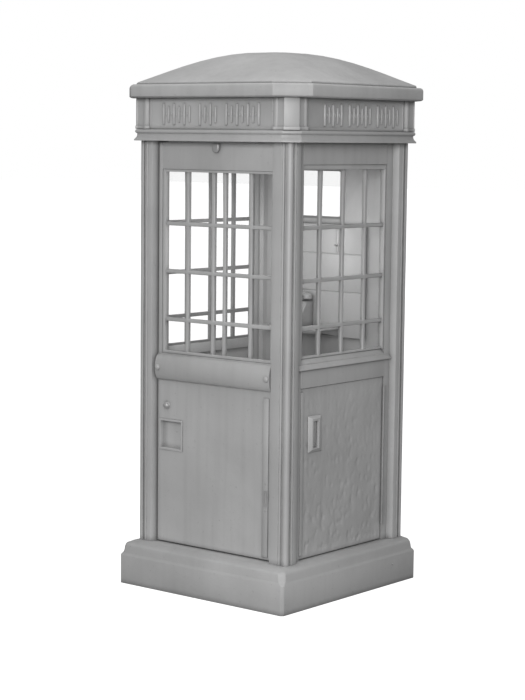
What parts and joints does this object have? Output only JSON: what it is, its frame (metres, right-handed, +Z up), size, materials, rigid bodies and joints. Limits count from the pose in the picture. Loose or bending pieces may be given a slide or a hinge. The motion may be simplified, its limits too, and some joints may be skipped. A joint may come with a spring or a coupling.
{
  "type": "telephone booth",
  "caption": "Square street telephone booth: cast corner posts on a moulded plinth, glazed walls and door, sign frieze and low hipped roof, with a telephone inside.",
  "frame": {"origin": "on the ground, midway between the four corner posts", "axes": "+Z up; -Y towards the door face; +X towards the wall with the service hatch; +Y towards the equipment wall"},
  "size_m": [1.091, 1.091, 2.508],
  "materials": {
    "plinth_iron": "weathered grey paint, rough",
    "frame_iron": "weathered grey paint, satin to matt",
    "roof_iron": "weathered grey paint, stained",
    "sheet_steel": "dented painted sheet, satin",
    "sign_panel": "painted pressed panel",
    "fittings_steel": "dull worn steel",
    "glass": "clear, slightly dusty",
    "backboard_enamel": "old enamel",
    "telephone_plastic": "dull worn moulded resin",
    "lamp_opal": "opal"
  },
  "bodies": {
    "cabin": {"base_plinth": "plinth_iron", "floor_plate": "fittings_steel", "cornice": "frame_iron", "corner_block_front_right": "frame_iron", "corner_block_front_left": "frame_iron", "corner_block_back_right": "frame_iron", "corner_block_back_left": "frame_iron", "sign_front": "sign_panel", "sign_right": "sign_panel", "sign_back": "sign_panel", "sign_left": "sign_panel", "roof_slab": "roof_iron", "roof_cap": "roof_iron", "post_front_right": "frame_iron", "post_front_left": "frame_iron", "post_back_right": "frame_iron", "post_back_left": "frame_iron", "header_right": "sheet_steel", "window_right": "frame_iron", "glass_right": "glass", "sill_right": "frame_iron", "rail_right": "frame_iron", "header_left": "sheet_steel", "window_left": "frame_iron", "glass_left": "glass", "sill_left": "frame_iron", "rail_left": "frame_iron", "panel_left": "sheet_steel", "hatch_hinge": "fittings_steel", "back_panel_upper": "sheet_steel", "back_panel_lower": "sheet_steel", "glass_back": "glass", "backboard": "backboard_enamel", "shelf": "fittings_steel", "telephone_case": "telephone_plastic", "lamp_base": "fittings_steel", "lamp_lens": "lamp_opal", "door_hinge_post_lower": "fittings_steel", "door_hinge_post_upper": "fittings_steel"},
    "door": {"door_stile_lock": "frame_iron", "door_stile_hinge": "frame_iron", "door_top_rail": "frame_iron", "door_window": "frame_iron", "door_glass": "glass", "door_waist_rail": "frame_iron", "door_panel": "sheet_steel", "door_pull_cup": "fittings_steel", "door_hinge_strip": "frame_iron", "door_tongue": "fittings_steel", "door_hinge_leaf_lower": "fittings_steel", "door_hinge_leaf_upper": "fittings_steel"},
    "door_lock": {"door_lock_knob": "fittings_steel"},
    "hatch": {"hatch": "sheet_steel", "hatch_pull_frame": "fittings_steel"},
    "hatch_pull": {"hatch_pull": "fittings_steel"},
    "cradle": {"phone_cradle": "fittings_steel"},
    "handset": {"handset": "telephone_plastic"},
    "dial": {"dial_wheel": "fittings_steel"},
    "coin_flap": {"coin_flap": "fittings_steel"}
  },
  "joints": [
    {"name": "door_hinge", "type": "hinge", "parent": "cabin", "child": "door", "pos_m": [0.3585, -0.434, 1.16], "axis": [0, 0, 1], "range_deg": [0, 95]},
    {"name": "door_lock_turn", "type": "hinge", "parent": "door", "child": "door_lock", "pos_m": [-0.298, -0.4193, 0.861], "axis": [0, -1, 0], "range_deg": [0, 90]},
    {"name": "hatch_hinge", "type": "hinge", "parent": "cabin", "child": "hatch", "pos_m": [0.423, 0.317, 0.615], "axis": [0, 0, 1], "range_deg": [0, 90]},
    {"name": "hatch_pull_lift", "type": "hinge", "parent": "hatch", "child": "hatch_pull", "pos_m": [0.413, -0.2128, 0.831], "axis": [0, -1, 0], "range_deg": [0, 40], "stiffness_Nm_per_rad": 0.4, "springref_deg": -11.46},
    {"name": "cradle_press", "type": "slide", "parent": "cabin", "child": "cradle", "axis": [0, 0, -1], "range_m": [0, 0.004], "stiffness_N_per_m": 600, "springref_m": -0.01},
    {"name": "handset_lift", "type": "slide", "parent": "cabin", "child": "handset", "axis": [0, 0, 1], "range_m": [0, 0.12]},
    {"name": "dial_turn", "type": "hinge", "parent": "cabin", "child": "dial", "pos_m": [-0.165, 0.3, 1.273], "axis": [0, 0.8258, -0.5639], "range_deg": [0, 300], "stiffness_Nm_per_rad": 0.02},
    {"name": "coin_flap_swing", "type": "hinge", "parent": "cabin", "child": "coin_flap", "pos_m": [-0.086, 0.271, 1.2203], "axis": [1, 0, 0], "range_deg": [0, 45]}
  ]
}
